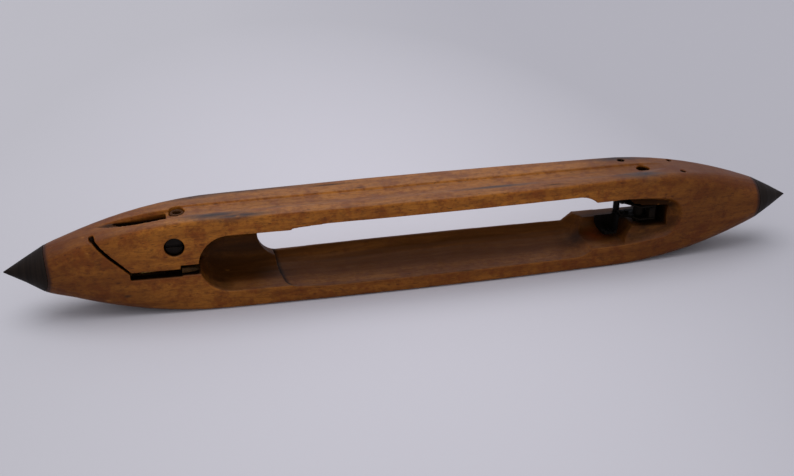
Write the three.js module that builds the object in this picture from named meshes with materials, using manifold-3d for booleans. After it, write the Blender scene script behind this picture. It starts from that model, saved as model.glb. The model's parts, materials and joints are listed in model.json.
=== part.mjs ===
// A self-threading power-loom shuttle, lying on its back wall with the open mouth towards -Y.
// Millimetres. X runs along the shuttle, the mouth face looks to -Y, +Z is up.
// Every piece is drawn about the shuttle's long axis, and the whole is then lifted so that
// the back wall rests on Z = 0.

import * as THREE from "three";
import { mergeVertices } from "three/addons/utils/BufferGeometryUtils.js";
import Module from "manifold-3d";

const wasm = await Module();
wasm.setup();

// Wooden body
const shuttleLength = 410; // over both steel points
const bodyWidth = 50; // from back wall to front wall, along Z
const bodyDepth = 34; // from mouth face to bottom face, along Y
const wallTaperLength = 78.6; // the walls curve in over this length, up to each tip
const wallTaperPower = 2.08;
const depthTaperLength = 174; // mouth and bottom faces curve in over this length
const depthTaperPower = 1.74;
const edgeRadius = 2; // long edges in the middle of the body
const edgeTaperPower = 1.3; // how fast the edges grow round towards the tips
const gap = 0.3; // clearance between pieces that are only laid together

// Steel tips
const tipBaseRadius = 11.3;
const tipConeLength = 20.4;
const tipPointRadius = 0.5;
const tipShankRadius = 4.2;
const tipShankLength = 22;

// Main trough, pocket and through slot
const troughRadius = 17.2;
const troughAxisDepth = 2; // the trough's round bottom is centred this far past the shuttle's axis
const troughBlendLength = 17; // the left end of the trough widens over this length
const troughStep = 0.7; // step from the pocket's wall out to the trough's wall
const troughLeftFromTip = 117.6; // from the left tip's seat to the step, on the mouth face
const troughSlant = 0.12; // the step leans this much towards the tip with depth
const troughMouthCurve = 4.2; // and curves away from the tip by this much close to the mouth face
const troughMouthCurveDepth = 1.8; // most of that curve lies within this depth
const pocketRadius = 15.2;
const pocketAxisDepth = -2.5;
const pocketCentreFromTip = 86.6; // from the left tip's seat to the centre of the pocket's round end
const slotHalfWidth = 10.5;
const slotCentreFromTip = 112.7; // from the left tip's seat to the centre of the slot's round end
const slotNarrowHalfWidth = 5.8;
const mortiseHalfWidth = 6.4;

// Spring clip that grips the pirn's head, placed from its bolt
const boltFromTip = 65.1; // from the right tip's seat to the clip bolt's axis
const boltDepth = -0.5;
const boltRadius = 2;
const boltHeadRadius = 3.2;
const boltHeadHeight = 2.4;
const boltSink = 6; // the bolt's head and nut lie this far below the walls
const nutAcrossFlats = 7;
const nutHeight = 2.8;
const washerRadius = 4.4;
const washerThickness = 0.8;
const boltClearance = 0.6; // round the bolt where the arms move past it
const cavityHalfWidth = 13.2;
const cavityRightFromBolt = 12.2; // the jaw cavity is wide up to here, then closes to the mortise
const cavityEndLength = 6.5;
const cavityFloor = 6.8; // depth of the cavity's floor past the axis
const cavityCornerRadius = 6.5; // between the cavity's walls and floor
const mortiseCornerRadius = 1;
const mortiseEndFromBolt = 12.5;
const slotEndFromBolt = 7;
const slotPointLength = 5;
const mortiseUpperHalfWidth = 5.1; // right of the jaws the mortise is narrower on its upper side
const mortiseUpperFromBolt = 2.5;
const troughEndFromBolt = 39.3; // the trough's round right end starts this far before the bolt
const troughEndLength = 14.8;
const troughEndSlant = 0.1; // that end leans this much towards the left tip with depth
const slotBevelStart = 1.8; // the slot's bevel starts this far after the trough's round end does
const slotBevelLength = 6;
const scoopRadius = 13.6;
const scoopAxisDepth = -21.3;
const scoopCentreFromBolt = 8;
const scoopLeftFromBolt = 13.5;
const scoopFall = 0.16; // the scoop lies this much deeper for each millimetre towards the jaws
const armThickness = 0.9;
const armInner = 3.1; // from the axis to each arm's inner face
const armMouthEdge = -6.5;
const armDeepEdge = 6.2;
const armLeftFromBolt = 9.1;
const armNarrowFromBolt = 8; // the arms are narrow from the jaws to here, then widen to the bolt
const armWideFromBolt = 1.5;
const armRightFromBolt = 7;
const armNarrowEdge = 0.8;
const hingeFromBolt = 5;
const tongueRightFromBolt = 3.4; // the jaw's tongue laps the arm from here
const tongueLeftFromBolt = 10;
const jawRightFromBolt = 13.8;
const jawMouthLength = 6.6; // the jaws' free ends lean, so they are longer deep down
const jawDeepLength = 9.6;
const jawCornerCut = 1.5; // the deep corner of each free end is cut back by this much
const jawInnerRadius = 9.3;
const jawThickness = 1.6;
const jawAxisDepth = -3;
const jawDeepAngle = 28; // degrees round the pirn's axis from straight down the cavity
const jawMouthAngle = 108;
const jawCornerStart = 0.75; // share of the jaw's arc where that cut begins
const jawGrooveDepth = 0.7;
const jawGrooveWidth = 1.6;
const jawGrooveCount = 2;
const jawRivetRadius = 0.8;
const jawRivetHeadRadius = 1.4;
const jawRivetHeadHeight = 0.6;
const jawRivetFirst = 7.8; // both jaw rivets, before the bolt
const jawRivetPitch = 2.9;
const spacerRadius = 3;
const baseLeftFromBolt = 3.6;
const baseRivetRadius = 1.2;
const baseRivetHeadRadius = 1.9;
const baseRivetHeadHeight = 0.5;

// Cross pins
const stopPinRadius = 1.75;
const stopPinFromBolt = 8.4;
const stopPinCover = 0.4; // wood over the stop pin's hole in the cavity's floor
const pinSink = 2.5; // the pins' ends lie this far below the walls
const endPinRadius = 1.25;
const farPinFromBolt = 18.5;
const farPinDepth = 8;
const nearPinFromBolt = 20;
const nearPinDepth = -6.5;

// Threading block and what belongs to it, placed from its screw
const screwFromTip = 60.6; // from the left tip's seat to the block screw's axis
const screwHeight = 11.1;
const screwHeadRadius = 4.4;
const screwHeadHeight = 2;
const screwCounterboreRadius = 4.9;
const screwCounterboreDepth = 4.4;
const screwRadius = 2.2;
const screwLength = 16;
const screwSlotWidth = 1.1;
const screwSlotDepth = 0.9;
const blockLeft = 23; // the block reaches this far before its screw
const blockRight = 6.5;
const blockTop = 16;
const blockBottom = -9;
const blockMouthFace = -8;
const blockBottomFace = 12.4;
const threadSlotLeft = 22; // the open slot in the mouth face starts this far before the screw
const threadSlotTop = -0.8;
const threadSlotBottom = -5;
const throatFromScrew = 2; // the slot widens from here to the pocket
const throatTop = 1.2;
const throatBottom = -4.5;
const throatFloor = 6;
const channelWall = 0.4; // the block's channel is this much wider below than the slot
const channelFloor = 4;
const slitWidth = 1.7;
const slitDepth = -6;
const slitFarFromScrew = 37.8;
const slitFarHeight = 16.9;
const slitHoleRadius = 1.4;
const hornTop = -1.3;
const hornBottom = -4.1;
const hornMouthEdge = -12;
const hornPointFromScrew = 11;
const eyeFromScrew = 2.8; // the thread eye lies this far past the screw
const eyeDepth = 0.2;
const eyeRadius = 3.6;
const eyeBoreRadius = 1.9;
const eyeLength = 7.4;
const eyeLip = 0.8;
const recessDepth = 2;
const recessFall = 0.12; // the recess's floor follows the wall down by this much for each millimetre
const recessLeftFromScrew = 37.5;
const recessRightFromScrew = 6.2;
const recessHalfWidth = 4.8;
const recessCentreDepth = -2.7;
const recessCurveAlong = 14.5; // the near edge swings out to a point this far right of the left end
const recessCurveOut = 4; // and this far beyond its straight part
const recessFloorEdge = 1.4; // the floor is flat up to here, then rises to the far edge
const threadGateLeft = 22.4; // narrow gate through the front wall to the block, on its near side
const threadGateRight = 2.5;
const threadGateLead = 6; // the gate's far side starts this much further left
const threadGateNear = -5;
const threadGateFar = 1.3;
const blockSlitHalfWidth = 0.8;
const leafThickness = 0.5;
const leafRootFromScrew = 17;
const leafScrewFromScrew = 14;
const leafCrestFromScrew = -6;
const leafTipFromScrew = -10;
const leafCrest = -2.4;
const leafTip = -3.2;
const leafMouthEdge = -6.2;
const leafDeepEdge = 3.4;
const leafScrewRadius = 0.8;
const leafScrewHeadRadius = 1.5;
const leafScrewHeadHeight = 0.7;

// Groove along the front wall
const grooveFarEdge = 3.8;
const grooveNearEdge = -10;
const grooveFloorNear = -3;
const grooveDepth = 1.4;
const grooveRightFromBolt = 16; // where the curve of the wall has run out of the groove

const halfBody = shuttleLength / 2 - tipConeLength;
const halfWidth = bodyWidth / 2;
const halfDepth = bodyDepth / 2;
const boltX = halfBody - boltFromTip;
const screwX = -halfBody + screwFromTip;
const overshoot = 5; // cutters run this far past the faces that they open
const radians = THREE.MathUtils.degToRad;

// Share of the way along a taper of the given length, from 0 at its start to 1 at the tip's seat
function taperShare(x, length) {
  const start = Math.max(0, halfBody - length);
  return THREE.MathUtils.clamp((Math.abs(x) - start) / (halfBody - start), 0, 1);
}

function wallAt(x) {
  return halfWidth - (halfWidth - tipBaseRadius) * taperShare(x, wallTaperLength) ** wallTaperPower;
}

function faceAt(x) {
  return halfDepth - (halfDepth - tipBaseRadius) * taperShare(x, depthTaperLength) ** depthTaperPower;
}

function edgeAt(x) {
  const share = taperShare(x, wallTaperLength);
  return edgeRadius + (tipBaseRadius - edgeRadius) * share ** edgeTaperPower;
}

// Closed triangle mesh to solid, with shared corners merged and collapsed triangles left out
function solid(geometry) {
  const bare = geometry.clone();
  for (const name of Object.keys(bare.attributes)) {
    if (name !== "position") bare.deleteAttribute(name);
  }
  const merged = mergeVertices(bare, 1e-4);
  const corners = [];
  for (let i = 0; i < merged.index.count; i += 3) {
    const [a, b, c] = [0, 1, 2].map((k) => merged.index.getX(i + k));
    if (a !== b && b !== c && c !== a) corners.push(a, b, c);
  }
  const mesh = new wasm.Mesh({
    numProp: 3,
    vertProperties: new Float32Array(merged.attributes.position.array),
    triVerts: new Uint32Array(corners),
  });
  return new wasm.Manifold(mesh);
}

function asGeometry(manifold) {
  const mesh = manifold.getMesh();
  const geometry = new THREE.BufferGeometry();
  geometry.setAttribute("position", new THREE.BufferAttribute(mesh.vertProperties, 3));
  geometry.setIndex(new THREE.BufferAttribute(mesh.triVerts, 1));
  return geometry;
}

function outline(points) {
  return new THREE.Shape(points.map(([a, b]) => new THREE.Vector2(a, b)));
}

// Outline in the X-Z plane, cut or grown along Y
function planSolid(shape, yStart, yEnd, steps = 12) {
  const settings = { depth: yEnd - yStart, bevelEnabled: false, curveSegments: steps };
  const geometry = new THREE.ExtrudeGeometry(shape, settings);
  return solid(geometry.rotateX(Math.PI / 2).translate(0, yEnd, 0));
}

// Outline in the Y-Z plane, grown along X
function sectionSolid(shape, xStart, xEnd, steps = 12) {
  const settings = { depth: xEnd - xStart, bevelEnabled: false, curveSegments: steps };
  const turn = new THREE.Matrix4().set(0, 0, 1, xStart, 1, 0, 0, 0, 0, 1, 0, 0, 0, 0, 0, 1);
  return solid(new THREE.ExtrudeGeometry(shape, settings).applyMatrix4(turn));
}

// Outline in the X-Y plane, grown along Z
function faceSolid(shape, zStart, zEnd, steps = 12) {
  const settings = { depth: zEnd - zStart, bevelEnabled: false, curveSegments: steps };
  return solid(new THREE.ExtrudeGeometry(shape, settings).translate(0, 0, zStart));
}

function boxSolid([x0, x1], [y0, y1], [z0, z1]) {
  const box = new THREE.BoxGeometry(x1 - x0, y1 - y0, z1 - z0);
  return solid(box.translate((x0 + x1) / 2, (y0 + y1) / 2, (z0 + z1) / 2));
}

// Round bar along Z
function crossBar(x, y, radius, zStart, zEnd, sides = 16) {
  const bar = new THREE.CylinderGeometry(radius, radius, zEnd - zStart, sides);
  return solid(bar.rotateX(Math.PI / 2).translate(x, y, (zStart + zEnd) / 2));
}

// Round bar along Y
function depthBar(x, z, radius, yStart, yEnd, sides = 24) {
  const bar = new THREE.CylinderGeometry(radius, radius, yEnd - yStart, sides);
  return solid(bar.translate(x, (yStart + yEnd) / 2, z));
}

// Rings of equal count along X, joined in order and closed with a fan at each end
function loftSolid(rings) {
  const points = [];
  const triangles = [];
  const count = rings[0].length;
  for (const ring of rings) points.push(...ring);
  for (let r = 0; r + 1 < rings.length; r += 1) {
    for (let i = 0; i < count; i += 1) {
      const a = r * count + i;
      const b = r * count + ((i + 1) % count);
      triangles.push(a, b, b + count, a, b + count, a + count);
    }
  }
  for (const [ring, start, flip] of [[rings[0], 0, true], [rings.at(-1), (rings.length - 1) * count, false]]) {
    const middle = points.length;
    const sum = ring.reduce((total, p) => total.map((v, k) => v + p[k]), [0, 0, 0]);
    points.push(sum.map((v) => v / count));
    for (let i = 0; i < count; i += 1) {
      const a = start + i;
      const b = start + ((i + 1) % count);
      triangles.push(...(flip ? [middle, b, a] : [middle, a, b]));
    }
  }
  return solid(indexed(points, triangles));
}

function indexed(points, triangles) {
  const geometry = new THREE.BufferGeometry();
  geometry.setAttribute("position", new THREE.Float32BufferAttribute(points.flat(), 3));
  geometry.setIndex(triangles);
  return geometry;
}

// Rectangle with round corners in the Y-Z plane at x, seen from +X
function roundedRing(x, depth, width, radius, steps = 6) {
  const r = Math.min(radius, depth, width);
  const ring = [];
  for (let corner = 0; corner < 4; corner += 1) {
    const y = [1, -1, -1, 1][corner] * (depth - r);
    const z = [1, 1, -1, -1][corner] * (width - r);
    for (let i = 0; i <= steps; i += 1) {
      const angle = ((corner + i / steps) * Math.PI) / 2;
      ring.push([x, y + r * Math.cos(angle), z + r * Math.sin(angle)]);
    }
  }
  return ring;
}

// Section of a round-bottomed trough that is open towards the mouth. It may lean towards the left
// tip by a function of the depth under the mouth face, and x is where it meets that face.
function troughRing(x, radius, axisDepth, steps = 16, lean = () => 0) {
  const wall = [0, 1, 2.2, 4, 7].map((depth) => depth - halfDepth);
  const ring = [[-halfDepth - overshoot, radius], [-halfDepth - overshoot, -radius]];
  ring.push(...wall.map((y) => [y, -radius]));
  for (let i = 0; i <= steps; i += 1) {
    const angle = -Math.PI / 2 + (Math.PI * i) / steps;
    ring.push([axisDepth + radius * Math.cos(angle), radius * Math.sin(angle)]);
  }
  ring.push(...wall.reverse().map((y) => [y, radius]));
  return ring.map(([y, z]) => [x - lean(Math.max(0, y + halfDepth)), y, z]);
}

// Body of wood

function bodyBlank() {
  const stations = 20; // along each half, closer together towards the tips
  const places = [];
  for (let i = -stations; i <= stations; i += 1) {
    const share = Math.abs(i) / stations;
    places.push(Math.sign(i) * halfBody * (1 - (1 - share) ** 1.5));
  }
  return loftSolid(places.map((x) => roundedRing(x, faceAt(x), wallAt(x), edgeAt(x))));
}

function troughCut() {
  const left = -halfBody + troughLeftFromTip;
  const right = boltX - troughEndFromBolt;
  const startRadius = pocketRadius + troughStep;
  const stepLean = (depth) => {
    return troughSlant * depth + troughMouthCurve * (1 - Math.exp(-depth / troughMouthCurveDepth));
  };
  const rings = [
    troughRing(left, startRadius, troughAxisDepth, 16, stepLean),
    troughRing(left + troughBlendLength, troughRadius, troughAxisDepth),
  ];
  const steps = 8;
  for (let i = 0; i < steps; i += 1) {
    const angle = (Math.PI / 2) * (i / steps);
    const x = right + troughEndLength * Math.sin(angle);
    rings.push(troughRing(x, troughRadius * Math.cos(angle), troughAxisDepth, 16, (depth) => troughEndSlant * depth));
  }
  return loftSolid(rings);
}

function pocketCut() {
  const centre = -halfBody + pocketCentreFromTip;
  const right = -halfBody + troughLeftFromTip + 1.5 * overshoot;
  const straight = loftSolid([
    troughRing(centre, pocketRadius, pocketAxisDepth, 14),
    troughRing(right, pocketRadius, pocketAxisDepth, 14),
  ]);
  const profile = [new THREE.Vector2(0, -pocketRadius)];
  const steps = 8;
  for (let i = 1; i <= steps; i += 1) {
    const angle = (Math.PI / 2) * (i / steps);
    profile.push(new THREE.Vector2(pocketRadius * Math.sin(angle), -pocketRadius * Math.cos(angle)));
  }
  const top = halfDepth + overshoot + pocketAxisDepth;
  profile.push(new THREE.Vector2(pocketRadius, top), new THREE.Vector2(0, top));
  const end = new THREE.LatheGeometry(profile, 32).rotateX(Math.PI);
  return straight.add(solid(end.translate(centre, pocketAxisDepth, 0)));
}

function slotCut() {
  const left = -halfBody + slotCentreFromTip;
  const bevel = boltX - troughEndFromBolt + slotBevelStart;
  const end = boltX + slotEndFromBolt;
  const narrow = slotNarrowHalfWidth;
  const shape = new THREE.Shape();
  shape.moveTo(bevel, slotHalfWidth);
  shape.absarc(left, 0, slotHalfWidth, Math.PI / 2, (3 * Math.PI) / 2, false);
  shape.lineTo(bevel, -slotHalfWidth);
  shape.lineTo(bevel + slotBevelLength, -narrow);
  shape.lineTo(end - slotPointLength, -narrow);
  shape.lineTo(end, -narrow / 3);
  shape.lineTo(end, narrow / 3);
  shape.lineTo(end - slotPointLength, narrow);
  shape.lineTo(bevel + slotBevelLength, narrow);
  return planSolid(shape, 0, halfDepth + overshoot);
}

// Section of a cavity with a flat floor, round corners and straight walls up past the mouth
function cavityRing(x, lowerHalf, upperHalf, radius, steps = 6) {
  const corner = (halfWidth, side) => {
    const line = [];
    for (let i = 0; i <= steps; i += 1) {
      const angle = (Math.PI / 2) * (i / steps);
      const y = cavityFloor - radius * (1 - Math.sin(angle));
      line.push([x, y, side * (halfWidth - radius * (1 - Math.cos(angle)))]);
    }
    return line;
  };
  const mouth = -halfDepth - overshoot;
  return [[x, mouth, upperHalf], [x, mouth, -lowerHalf], ...corner(lowerHalf, -1), ...corner(upperHalf, 1).reverse()];
}

// Room for the jaws and the clip: straight walls from the trough's round end up to the jaws'
// right edge, then the mortise
function jawCavityCut() {
  const right = boltX - cavityRightFromBolt;
  const mortise = right + cavityEndLength;
  const narrow = boltX - mortiseUpperFromBolt;
  return loftSolid([
    cavityRing(boltX - troughEndFromBolt, cavityHalfWidth, cavityHalfWidth, cavityCornerRadius),
    cavityRing(right, cavityHalfWidth, cavityHalfWidth, cavityCornerRadius),
    cavityRing(mortise, mortiseHalfWidth, mortiseHalfWidth, mortiseCornerRadius),
    cavityRing(narrow, mortiseHalfWidth, mortiseHalfWidth, mortiseCornerRadius),
    cavityRing(narrow + mortiseCornerRadius, mortiseHalfWidth, mortiseUpperHalfWidth, mortiseCornerRadius),
    cavityRing(boltX + mortiseEndFromBolt, mortiseHalfWidth, mortiseUpperHalfWidth, mortiseCornerRadius),
  ]);
}

// Shallow round scoop in the mouth face over the mortise, with a ball end, deeper towards the jaws
function scoopCut() {
  const left = boltX - scoopLeftFromBolt;
  const right = boltX + scoopCentreFromBolt;
  const bar = new THREE.CylinderGeometry(scoopRadius, scoopRadius, right - left, 32);
  const ball = new THREE.SphereGeometry(scoopRadius, 32, 16);
  bar.rotateZ(Math.PI / 2).translate((left + right) / 2, scoopAxisDepth, 0);
  const fallen = solid(bar).warp((p) => {
    p[1] += scoopFall * (right - p[0]);
  });
  return fallen.add(solid(ball.translate(right, scoopAxisDepth, 0)));
}

function grooveCut() {
  const top = halfWidth + overshoot;
  const floor = halfWidth - grooveDepth;
  const shape = outline([
    [grooveNearEdge, top],
    [grooveNearEdge, halfWidth],
    [grooveFloorNear, floor],
    [grooveFarEdge - grooveDepth / 2, floor],
    [grooveFarEdge, halfWidth],
    [grooveFarEdge, top],
  ]);
  return sectionSolid(shape, screwX + recessRightFromScrew - recessHalfWidth, boltX + grooveRightFromBolt);
}

function recessCut() {
  const left = screwX - recessLeftFromScrew;
  const right = screwX + recessRightFromScrew;
  const near = recessCentreDepth - recessHalfWidth;
  const far = recessCentreDepth + recessHalfWidth;
  const shape = new THREE.Shape();
  shape.moveTo(left, far);
  shape.quadraticCurveTo(left + recessCurveAlong, near - recessCurveOut, right - recessHalfWidth, near);
  shape.absarc(right - recessHalfWidth, recessCentreDepth, recessHalfWidth, -Math.PI / 2, Math.PI / 2, false);
  const floor = wallAt(screwX - blockLeft / 2) - recessDepth;
  const top = halfWidth + overshoot;
  const slope = outline([
    [near - 2, floor],
    [recessFloorEdge, floor],
    [far + 2, top - 2],
    [far + 2, top],
    [near - 2, top],
  ]);
  const room = sectionSolid(slope, left - 1, right + 1).warp((p) => {
    p[2] += recessFall * (p[0] - screwX + blockLeft / 2);
  });
  const gateLine = outline([
    [screwX - threadGateLeft - threadGateLead, threadGateFar],
    [screwX - threadGateLeft, threadGateNear],
    [screwX - threadGateRight, threadGateNear],
    [screwX - threadGateRight, threadGateFar],
  ]);
  const gate = faceSolid(gateLine, blockTop - overshoot, top + overshoot);
  return faceSolid(shape, floor - overshoot, top + overshoot, 8).intersect(room).add(gate);
}

function blockChamberCut() {
  const x = [screwX - blockLeft, screwX + blockRight];
  return boxSolid(x, [blockMouthFace, halfDepth + overshoot], [blockBottom, blockTop]);
}

function threadSlotCut() {
  const mouth = -halfDepth - overshoot;
  const left = screwX - threadSlotLeft;
  const pocket = -halfBody + pocketCentreFromTip;
  const slot = boxSolid([left, screwX + throatFromScrew + 1], [mouth, blockMouthFace + 1], [threadSlotBottom, threadSlotTop]);
  const throat = boxSolid([screwX + throatFromScrew, pocket], [mouth, blockMouthFace + 1], [throatBottom, throatTop]);
  const deep = boxSolid(
    [screwX + blockRight - 1, pocket],
    [blockMouthFace, throatFloor],
    [threadSlotBottom - channelWall, throatTop],
  );
  return slot.add(throat).add(deep);
}

// Saw cut that leads the thread from the slot's corner over to the front wall
function slitCut() {
  const start = new THREE.Vector2(screwX - threadSlotLeft, threadSlotTop);
  const bend = new THREE.Vector2(start.x - 8, start.y + 8.4);
  const end = new THREE.Vector2(screwX - slitFarFromScrew, slitFarHeight);
  const line = [start, bend, end];
  const half = slitWidth / 2;
  const across = (i) => {
    const from = line[Math.max(0, i - 1)];
    const to = line[Math.min(2, i + 1)];
    const along = to.clone().sub(from).normalize();
    return new THREE.Vector2(-along.y * half, along.x * half);
  };
  const left = line.map((p, i) => [p.x + across(i).x, p.y + across(i).y]);
  const right = line.map((p, i) => [p.x - across(i).x, p.y - across(i).y]);
  right[0] = [start.x + slitWidth, start.y - half];
  left[0] = [start.x, start.y - half];
  const mouth = -halfDepth - overshoot;
  const cut = planSolid(outline([...left, ...right.reverse()]), mouth, slitDepth);
  return cut.add(depthBar(end.x, end.y, slitHoleRadius, mouth, slitDepth, 12));
}

function screwHoleCut() {
  const mouth = -halfDepth - overshoot;
  const floor = -faceAt(screwX) + screwCounterboreDepth;
  const bore = depthBar(screwX, screwHeight, screwCounterboreRadius, mouth, floor);
  return bore.add(depthBar(screwX, screwHeight, screwRadius + gap, mouth, blockMouthFace + 1, 16));
}

function crossHoleCut() {
  const reach = halfWidth + overshoot;
  const head = wallAt(boltX) - boltSink - boltHeadHeight - gap;
  const nut = -wallAt(boltX) + boltSink + nutHeight + washerThickness + 3 * gap;
  let holes = crossBar(boltX, boltDepth, boltRadius + gap, -reach, reach);
  holes = holes.add(crossBar(boltX, boltDepth, boltHeadRadius + gap, head, reach));
  holes = holes.add(crossBar(boltX, boltDepth, washerRadius + gap, -reach, nut));
  for (const pin of crossPins) {
    holes = holes.add(crossBar(pin.x, pin.y, pin.radius + gap, -reach, reach, 12));
  }
  const eyeX = screwX + eyeFromScrew;
  return holes.add(crossBar(eyeX, eyeDepth, eyeRadius + gap, blockTop - 1, reach));
}

function tipBoreCut(side) {
  const bore = new THREE.CylinderGeometry(tipShankRadius + gap, tipShankRadius + gap, 2 * (tipShankLength + gap), 16);
  return solid(bore.rotateZ(Math.PI / 2).translate(side * halfBody, 0, 0));
}

const crossPins = [
  { name: "stop_pin", x: boltX - stopPinFromBolt, y: cavityFloor + stopPinCover + gap + stopPinRadius, radius: stopPinRadius },
  { name: "far_end_pin", x: boltX + farPinFromBolt, y: farPinDepth, radius: endPinRadius },
  { name: "near_end_pin", x: boltX + nearPinFromBolt, y: nearPinDepth, radius: endPinRadius },
];

function shuttleBody() {
  const cuts = [
    troughCut(), pocketCut(), slotCut(), jawCavityCut(), scoopCut(), grooveCut(), recessCut(),
    blockChamberCut(), threadSlotCut(), slitCut(), screwHoleCut(), crossHoleCut(), tipBoreCut(1), tipBoreCut(-1),
  ];
  return cuts.reduce((body, cut) => body.subtract(cut), bodyBlank());
}

// Steel tips

function tip(side) {
  const profile = [
    [0, -tipShankLength],
    [tipShankRadius - 0.8, -tipShankLength],
    [tipShankRadius, -tipShankLength + 0.8],
    [tipShankRadius, 0],
    [tipBaseRadius, 0],
    [tipPointRadius, tipConeLength - tipPointRadius],
    [0, tipConeLength],
  ];
  const turned = new THREE.LatheGeometry(profile.map(([r, h]) => new THREE.Vector2(r, h)), 24);
  return solid(turned.rotateZ((-side * Math.PI) / 2).translate(side * halfBody, 0, 0));
}

// Threading block, its screw, its eye and the tension leaf

function threadingBlock() {
  const left = screwX - blockLeft + gap;
  const right = screwX + blockRight - gap;
  const top = blockTop - gap;
  const mouthFace = blockMouthFace + gap;
  let block = boxSolid([left, right], [mouthFace, blockBottomFace], [blockBottom + gap, top]);
  const hornBack = screwX + throatFromScrew + 2 * gap;
  const point = screwX + hornPointFromScrew;
  const middle = (hornTop + hornBottom) / 2;
  const horn = planSolid(
    outline([[hornBack, hornBottom], [point - 2, middle - 1], [point, middle], [point - 2, middle + 1], [hornBack, hornTop]]),
    hornMouthEdge,
    mouthFace + 1,
  );
  block = block.add(horn);
  const channel = boxSolid(
    [left + 1.5, right + 1],
    [mouthFace + 1, channelFloor],
    [threadSlotBottom - channelWall, threadSlotTop],
  );
  const entry = boxSolid([left + 1.5, hornBack - gap], [mouthFace - 1, mouthFace + 2], [threadSlotBottom - channelWall, threadSlotTop]);
  const slit = boxSolid(
    [left - 1, screwX + eyeFromScrew],
    [eyeDepth - blockSlitHalfWidth, eyeDepth + blockSlitHalfWidth],
    [threadSlotTop - 1, top + 1],
  );
  const eyePassage = crossBar(screwX + eyeFromScrew, eyeDepth, eyeBoreRadius, threadSlotTop - 1, top + 1);
  const screwHole = depthBar(screwX, screwHeight, screwRadius + gap, mouthFace - 1, screwEnd() + gap, 16);
  const leafHole = crossBar(
    screwX - leafScrewFromScrew, (leafMouthEdge + leafDeepEdge) / 2, leafScrewRadius + gap,
    blockBottom - 1, threadSlotBottom, 12,
  );
  return [channel, entry, slit, eyePassage, screwHole, leafHole].reduce((body, cut) => body.subtract(cut), block);
}

function screwSeat() {
  return -faceAt(screwX) + screwCounterboreDepth - gap;
}

function screwEnd() {
  return screwSeat() + screwLength;
}

function blockScrew() {
  const seat = screwSeat();
  const head = depthBar(screwX, screwHeight, screwHeadRadius, seat - screwHeadHeight, seat);
  const shank = depthBar(screwX, screwHeight, screwRadius, seat - 1, screwEnd(), 16);
  const half = screwSlotWidth / 2;
  const reach = screwHeadRadius + 1;
  const slot = boxSolid(
    [screwX - reach, screwX + reach],
    [seat - screwHeadHeight - 1, seat - screwHeadHeight + screwSlotDepth],
    [screwHeight - half, screwHeight + half],
  );
  return head.add(shank).subtract(slot);
}

function threadEye() {
  const bottom = blockTop;
  const profile = [
    [eyeBoreRadius, 0],
    [eyeRadius, 0],
    [eyeRadius, eyeLength - eyeLip],
    [eyeRadius - eyeLip / 2, eyeLength],
    [eyeBoreRadius + eyeLip, eyeLength],
    [eyeBoreRadius, eyeLength - eyeLip],
    [eyeBoreRadius, 0],
  ];
  const ring = new THREE.LatheGeometry(profile.map(([r, h]) => new THREE.Vector2(r, h)), 24);
  return solid(ring.rotateX(Math.PI / 2).translate(screwX + eyeFromScrew, eyeDepth, bottom));
}

function tensionLeaf() {
  const rest = threadSlotBottom - channelWall + gap;
  const line = [
    [screwX - leafRootFromScrew, rest],
    [screwX - leafScrewFromScrew + 2.5, rest],
    [screwX - leafCrestFromScrew, leafCrest],
    [screwX - leafTipFromScrew, leafTip],
  ];
  const upper = line.map(([x, z]) => [x, z + leafThickness]).reverse();
  const strip = planSolid(outline([...line, ...upper]), leafMouthEdge, leafDeepEdge);
  const middle = (leafMouthEdge + leafDeepEdge) / 2;
  const x = screwX - leafScrewFromScrew;
  return strip.subtract(crossBar(x, middle, leafScrewRadius + gap, rest - 1, rest + 1, 12));
}

function leafScrew() {
  const x = screwX - leafScrewFromScrew;
  const middle = (leafMouthEdge + leafDeepEdge) / 2;
  const seat = threadSlotBottom - channelWall + gap + leafThickness + gap;
  const head = crossBar(x, middle, leafScrewHeadRadius, seat, seat + leafScrewHeadHeight, 12);
  return head.add(crossBar(x, middle, leafScrewRadius, blockBottom + 2 * gap, seat + 0.1, 12));
}

// Spring clip. Pieces are drawn for the lower side and mirrored for the upper one.

function onSide(manifold, side) {
  return side < 0 ? manifold : manifold.mirror([0, 0, 1]);
}

function springArm(side) {
  const left = boltX - armLeftFromBolt;
  const right = boltX + armRightFromBolt;
  const shape = outline([
    [left, armNarrowEdge],
    [boltX - armNarrowFromBolt, armNarrowEdge],
    [boltX - armWideFromBolt, armMouthEdge],
    [right, armMouthEdge],
    [right, armDeepEdge],
    [left, armDeepEdge],
  ]);
  let arm = faceSolid(shape, -armInner - armThickness, -armInner);
  arm = arm.subtract(crossBar(boltX, boltDepth, boltRadius + boltClearance, -armInner - 2, -armInner + 1));
  arm = arm.subtract(crossBar(baseRivetX(), boltDepth, baseRivetRadius + gap, -armInner - 2, -armInner + 1, 12));
  for (const x of jawRivetPlaces()) {
    arm = arm.subtract(crossBar(x, jawRivetDepth(), jawRivetRadius + gap, -armInner - 2, -armInner + 1, 12));
  }
  return onSide(arm, side);
}

function jawRivetPlaces() {
  return [boltX - jawRivetFirst, boltX - jawRivetFirst + jawRivetPitch];
}

function jawRivetDepth() {
  return (armNarrowEdge + armDeepEdge) / 2;
}

function baseRivetX() {
  return boltX + hingeFromBolt;
}

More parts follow.
